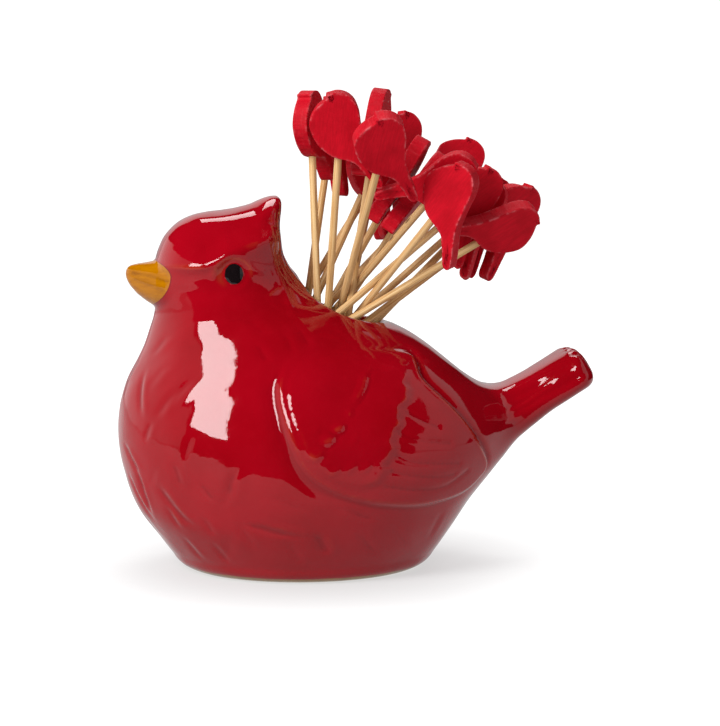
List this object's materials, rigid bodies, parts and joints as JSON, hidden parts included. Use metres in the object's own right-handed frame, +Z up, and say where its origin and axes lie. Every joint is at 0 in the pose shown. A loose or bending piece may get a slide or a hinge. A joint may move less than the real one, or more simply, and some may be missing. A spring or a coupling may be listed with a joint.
{
  "type": "bird-shaped toothpick holder",
  "caption": "Hollow glazed ceramic bird with an open neck holding long bamboo picks, each topped with a flat painted wooden bird that lifts out.",
  "frame": {"origin": "centre of the flat foot on the table", "axes": "+Z up, the bird looks along -X and its tail points along +X"},
  "size_m": [0.1277, 0.0828, 0.1269],
  "materials": {
    "glaze": "gloss",
    "painted_wood": "satin",
    "bamboo": "matte"
  },
  "bodies": {
    "holder": {"holder": "glaze"},
    "pick_01": {"topper_01": "painted_wood", "stick_01": "bamboo"},
    "pick_02": {"topper_02": "painted_wood", "stick_02": "bamboo"},
    "pick_03": {"topper_03": "painted_wood", "stick_03": "bamboo"},
    "pick_04": {"topper_04": "painted_wood", "stick_04": "bamboo"},
    "pick_05": {"topper_05": "painted_wood", "stick_05": "bamboo"},
    "pick_06": {"topper_06": "painted_wood", "stick_06": "bamboo"},
    "pick_07": {"topper_07": "painted_wood", "stick_07": "bamboo"},
    "pick_08": {"topper_08": "painted_wood", "stick_08": "bamboo"},
    "pick_09": {"topper_09": "painted_wood", "stick_09": "bamboo"},
    "pick_10": {"topper_10": "painted_wood", "stick_10": "bamboo"},
    "pick_11": {"topper_11": "painted_wood", "stick_11": "bamboo"},
    "pick_12": {"topper_12": "painted_wood", "stick_12": "bamboo"},
    "pick_13": {"topper_13": "painted_wood", "stick_13": "bamboo"},
    "pick_14": {"topper_14": "painted_wood", "stick_14": "bamboo"},
    "pick_15": {"topper_15": "painted_wood", "stick_15": "bamboo"},
    "pick_16": {"topper_16": "painted_wood", "stick_16": "bamboo"},
    "pick_17": {"topper_17": "painted_wood", "stick_17": "bamboo"},
    "pick_18": {"topper_18": "painted_wood", "stick_18": "bamboo"}
  },
  "joints": [
    {"name": "pick_01_lift", "type": "slide", "parent": "holder", "child": "pick_01", "axis": [-0.0396, -0.0431, 0.9983], "range_m": [0, 0.125]},
    {"name": "pick_02_lift", "type": "slide", "parent": "holder", "child": "pick_02", "axis": [0.0284, -0.2339, 0.9718], "range_m": [0, 0.125]},
    {"name": "pick_03_lift", "type": "slide", "parent": "holder", "child": "pick_03", "axis": [0.1768, 0.1959, 0.9645], "range_m": [0, 0.125]},
    {"name": "pick_04_lift", "type": "slide", "parent": "holder", "child": "pick_04", "axis": [0.1214, -0.5416, 0.8318], "range_m": [0, 0.125]},
    {"name": "pick_05_lift", "type": "slide", "parent": "holder", "child": "pick_05", "axis": [0.4376, 0.1386, 0.8884], "range_m": [0, 0.125]},
    {"name": "pick_06_lift", "type": "slide", "parent": "holder", "child": "pick_06", "axis": [0.1643, 0.102, 0.9811], "range_m": [0, 0.125]},
    {"name": "pick_07_lift", "type": "slide", "parent": "holder", "child": "pick_07", "axis": [0.2596, 0.4214, 0.8689], "range_m": [0, 0.125]},
    {"name": "pick_08_lift", "type": "slide", "parent": "holder", "child": "pick_08", "axis": [0.5548, 0.2331, 0.7986], "range_m": [0, 0.125]},
    {"name": "pick_09_lift", "type": "slide", "parent": "holder", "child": "pick_09", "axis": [0.469, -0.1602, 0.8685], "range_m": [0, 0.125]},
    {"name": "pick_10_lift", "type": "slide", "parent": "holder", "child": "pick_10", "axis": [0.5444, -0.0984, 0.8331], "range_m": [0, 0.125]},
    {"name": "pick_11_lift", "type": "slide", "parent": "holder", "child": "pick_11", "axis": [0.5517, -0.3802, 0.7424], "range_m": [0, 0.125]},
    {"name": "pick_12_lift", "type": "slide", "parent": "holder", "child": "pick_12", "axis": [0.4845, -0.4626, 0.7425], "range_m": [0, 0.125]},
    {"name": "pick_13_lift", "type": "slide", "parent": "holder", "child": "pick_13", "axis": [0.7642, -0.026, 0.6445], "range_m": [0, 0.125]},
    {"name": "pick_14_lift", "type": "slide", "parent": "holder", "child": "pick_14", "axis": [0.7271, -0.1554, 0.6687], "range_m": [0, 0.125]},
    {"name": "pick_15_lift", "type": "slide", "parent": "holder", "child": "pick_15", "axis": [0.6871, 0.4401, 0.5781], "range_m": [0, 0.125]},
    {"name": "pick_16_lift", "type": "slide", "parent": "holder", "child": "pick_16", "axis": [0.8411, -0.1452, 0.5211], "range_m": [0, 0.125]},
    {"name": "pick_17_lift", "type": "slide", "parent": "holder", "child": "pick_17", "axis": [0.716, 0.2138, 0.6645], "range_m": [0, 0.125]},
    {"name": "pick_18_lift", "type": "slide", "parent": "holder", "child": "pick_18", "axis": [0.8142, 0.2382, 0.5295], "range_m": [0, 0.125]}
  ]
}
